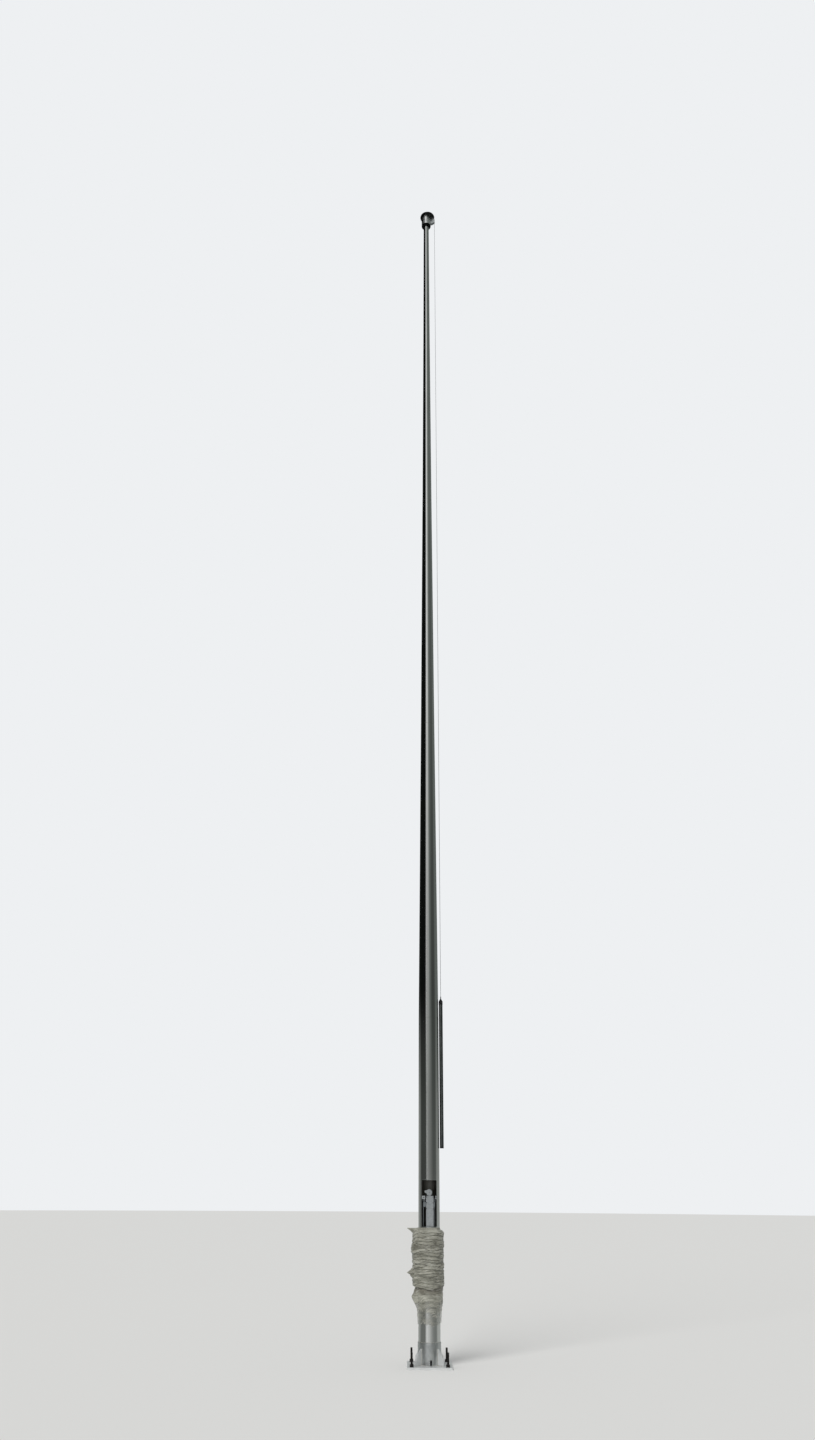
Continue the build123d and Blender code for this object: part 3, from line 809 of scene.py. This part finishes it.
def upper_wrap():
    """The thick wrap: hand-wound turns that overlap, creased nearly level and climbing to the right
    across the front, tied to the tube at its top, with a hem that dips at the front and two loose
    corners on the left."""
    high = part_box("protective_film")[1]
    tube = BASE_TUBE_RADIUS + 0.4 * MM
    theta, z = film_grid(380, 240, upper_hem, high.z)
    neck = high.z - 16 * MM
    shoulder = np.clip((neck - z) / (26 * MM), 0, 1) ** 0.45
    waist = np.exp(-((z - 0.9) / 0.05) ** 2)
    full = high.x - tube - 2.5 * MM * np.sin(3 * theta + 1) - 4 * MM * waist
    turns = (z / (86 * MM) + theta / tau + 0.03 * np.sin(4 * theta)) % 1
    full += 4.5 * MM * (1 - turns) - 3 * MM
    climb = z - 18 * MM * np.cos(theta)
    broad = 1 - puffed(theta, climb, high.x, 210 * MM, 25 * MM, 3, 10 * MM)
    fine = 1 - puffed(theta, climb, high.x, 80 * MM, 11 * MM, 8, 6 * MM)
    full -= 8 * MM * broad + 2.5 * MM * fine
    left = np.exp(-(((theta % tau - pi) / 0.8) ** 2))
    full += left * (14 * MM + 16 * MM * np.exp(-(((z - 0.92) / 0.06) ** 2)))
    top_corner = flap(theta, z, radians(178), high.z - 24 * MM, 0.14, 24 * MM)
    low_corner = flap(theta, z, radians(183), 0.735, 0.14, 48 * MM)
    loose = 50 * MM * low_corner + 76 * MM * top_corner
    grip = np.clip((high.z - z) / (6 * MM), 0, 1)
    pleats = 1.1 * MM * (1 - shoulder) * grip * (1 + np.sin(34 * theta + 2 * np.sin(3 * theta)))
    r = tube + full * shoulder + pleats + loose
    lifted = z + 20 * MM * top_corner
    creases = (0.7 * broad + 0.5 * fine) * shoulder
    finish = wound_stretch_film()
    return film_piece("film_upper_wrap", theta, lifted, r, creases, finish, "protective_film")


def lower_wrap():
    """The thin wrap below it, close to the tube, level under the hem and gathered lower down into
    folds that arch over the front, with a torn lower edge."""
    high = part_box("film_skirt")[1]
    tube = BASE_TUBE_RADIUS + 0.2 * MM
    theta, z = film_grid(340, 230, torn_hem, high.z)
    neck = high.z - 18 * MM
    shoulder = np.clip((neck - z) / (26 * MM), 0, 1) ** 0.5
    full = np.interp(z, [0.32, 0.42, 0.5, 0.62, 0.9], [8 * MM, 13 * MM, 24 * MM, 28 * MM, 27 * MM])
    arch = np.interp(z, [0.5, 0.62], [1.0, 0.05]) * tube
    draped = z + arch * 1.2 * np.tanh((1 - np.cos(theta + radians(80))) / 1.2)
    broad = 1 - puffed(theta, draped, high.x, 230 * MM, 22 * MM, 5, 8 * MM)
    fine = 1 - puffed(theta, draped, high.x, 110 * MM, 10 * MM, 9, 5 * MM)
    full -= np.interp(z, [0.36, 0.55], [0.45, 1.0]) * (6 * MM * broad + 1.4 * MM * fine)
    loose = 40 * MM * flap(theta, z, radians(180), 0.54, 0.5, 90 * MM)
    r = tube + np.maximum(full, 0.3 * MM) * shoulder + loose
    creases = 0.6 * broad + 0.4 * fine
    finish = thin_stretch_film(0.37, 0.58)
    return film_piece("film_lower_wrap", theta, z, r, creases, finish, "film_skirt")


# Floor, cards and light.

def pale_floor():
    """A plain pale round floor, level with the mounting face."""
    mesh = bpy.data.meshes.new("floor")
    steps, radius = 128, 90
    rim = [(radius * cos(tau * i / steps), radius * sin(tau * i / steps), 0) for i in range(steps)]
    mesh.from_pydata(rim, [], [tuple(range(steps))])
    floor = add_object("floor", mesh)
    material, _, shader = new_finish("pale_floor", 0.0, 0.9, Specular_IOR_Level=0.0)
    shader.inputs["Base Color"].default_value = linear("#DAD9D6")
    mesh.materials.append(material)


def reflection_card(name, angles, rows):
    """A curved card out of view, whose reflection draws long bands on the polished tube. The angles
    are degrees round the pole from -Y, positive towards +X. A row holds the card's radius, its
    height above the floor, how solid it is there, and its grey at each of those angles."""
    columns = np.arange(angles[0], angles[-1] + 1, 2.0)
    points, shades = [], []
    for radius, height, cover, greys in rows:
        tones = np.array([linear(grey)[:3] for grey in greys])
        for column in columns:
            turn = radians(column)
            points.append((radius * sin(turn), -radius * cos(turn), height))
            shades.append([np.interp(column, angles, tones[:, c]) for c in range(3)] + [cover])
    mesh = bpy.data.meshes.new(name)
    mesh.from_pydata(points, [], grid_faces(len(rows), len(columns), closed=False))
    paint(mesh, "shade", shades)
    material, tree, shader = new_finish(
        name + "_paper", 0.0, 1.0, Specular_IOR_Level=0.0, Emission_Strength=1.0
    )
    shader.inputs["Base Color"].default_value = linear("#000000")
    feed(
        tree, shader,
        Emission_Color=add_node(tree, "VertexColor", {}, "Color", layer_name="shade"),
        Alpha=add_node(tree, "VertexColor", {}, "Alpha", layer_name="shade"),
    )
    mesh.materials.append(material)
    card = add_object(name, mesh)
    card.visible_camera = False
    card.visible_diffuse = False
    card.visible_shadow = False


def reflection_cards():
    """Two low cards that lie along the floor from the pole's foot, stand and fade out above, and two
    high ones that hang inside them and fade in: dark on the left, paler on the right and at the back."""
    near, outer, inner = 0.36, 6.0, 5.8
    floor_level = 2 * MM
    left = (-180, -120, -98, -44, -34, -23)
    on_floor = ("#B0B4B2", "#B0B4B2", "#7E817F", "#7E817F", "#E2E4E5", SURROUND)
    upright = ("#9A9E9C", "#9A9E9C", "#484B49", "#484B49", "#484B49", "#9EA1A0")
    top = ("#9A9E9C", "#9A9E9C", "#484B49", "#484B49", "#484B49", "#B8BABA")
    reflection_card("card_left_low", left, [
        (near, floor_level, 1, on_floor), (outer, floor_level, 1, on_floor), (outer, 1.2, 1, upright),
        (outer, 4.4, 1, top), (outer, 10.0, 0, top),
    ])
    right = (-22, 2, 44, 76, 92, 180)
    on_floor = (SURROUND, "#C8CBCA", "#8A8E8C", "#868A88", "#BCC0BE", "#BCC0BE")
    upright = ("#9EA1A0", "#888B8A", "#5C605E", "#5A5E5C", "#8E9290", "#A8ACAA")
    top = ("#B8BABA", "#949796", "#4C504E", "#484C4A", "#7A7E7C", "#8A8E8C")
    reflection_card("card_right_low", right, [
        (near, floor_level, 1, on_floor), (outer, floor_level, 1, on_floor), (outer, 1.7, 1, upright),
        (outer, 4.4, 1, top), (outer, 10.0, 0, top),
    ])
    left = (-180, -100, -38, -27)
    foot = ("#262928", "#101211", "#101211", "#B8BABA")
    head = ("#262928", "#101211", "#101211", SURROUND)
    reflection_card("card_left_high", left, [
        (inner, 2.5, 0, foot), (inner, 4.3, 1, foot), (inner, 24, 1, head),
    ])
    right = (-2, 8, 16, 42, 74, 90, 180)
    foot = ("#B8BABA", "#8C928F", "#727876", "#464A48", "#4A4E4C", "#6C7270", "#7B817F")
    head = (SURROUND, "#A9AFAC", "#7B817F", "#6F7573", "#636967", "#737977", "#737977")
    reflection_card("card_right_high", right, [
        (inner, 2.5, 0, foot), (inner, 4.3, 1, foot), (inner, 16, 1, head), (inner, 24, 1, head),
    ])


def studio_light():
    """An even pale surround, white to cameras and metal, and one soft lamp from the front left."""
    world = bpy.data.worlds.new("studio")
    scene.world = world
    world.use_nodes = True
    tree = world.node_tree
    camera_ray = add_node(tree, "LightPath", {}, "Is Camera Ray")
    glossy_ray = add_node(tree, "LightPath", {}, "Is Glossy Ray")
    clear_ray = add_node(tree, "LightPath", {}, "Is Transmission Ray")
    seen = add_node(tree, "Math", {0: camera_ray, 1: glossy_ray}, operation="MAXIMUM")
    seen = add_node(tree, "Math", {0: seen, 1: clear_ray}, operation="MAXIMUM")
    shade = add_node(tree, "Mix", {0: seen, 6: "#BCBEC0", 7: SURROUND}, 2, data_type="RGBA")
    tree.links.new(shade, tree.nodes["Background"].inputs["Color"])
    data = bpy.data.lights.new("soft_lamp", "SUN")
    data.energy = 2.2
    data.angle = radians(28)
    lamp = add_object("soft_lamp", data)
    lamp.rotation_euler = (radians(48), 0, radians(-28))
    lamp.visible_glossy = False
    scene.view_settings.view_transform = "Standard"


anchor_rods()
foot_welds()
rope_turns()
winch_screws()
halyard_over_sheave()
halyard_outside()
weight_ferrule()
crown_screws()
lower_film = lower_wrap()
upper_film = upper_wrap()

pale_floor()
reflection_cards()
studio_light()
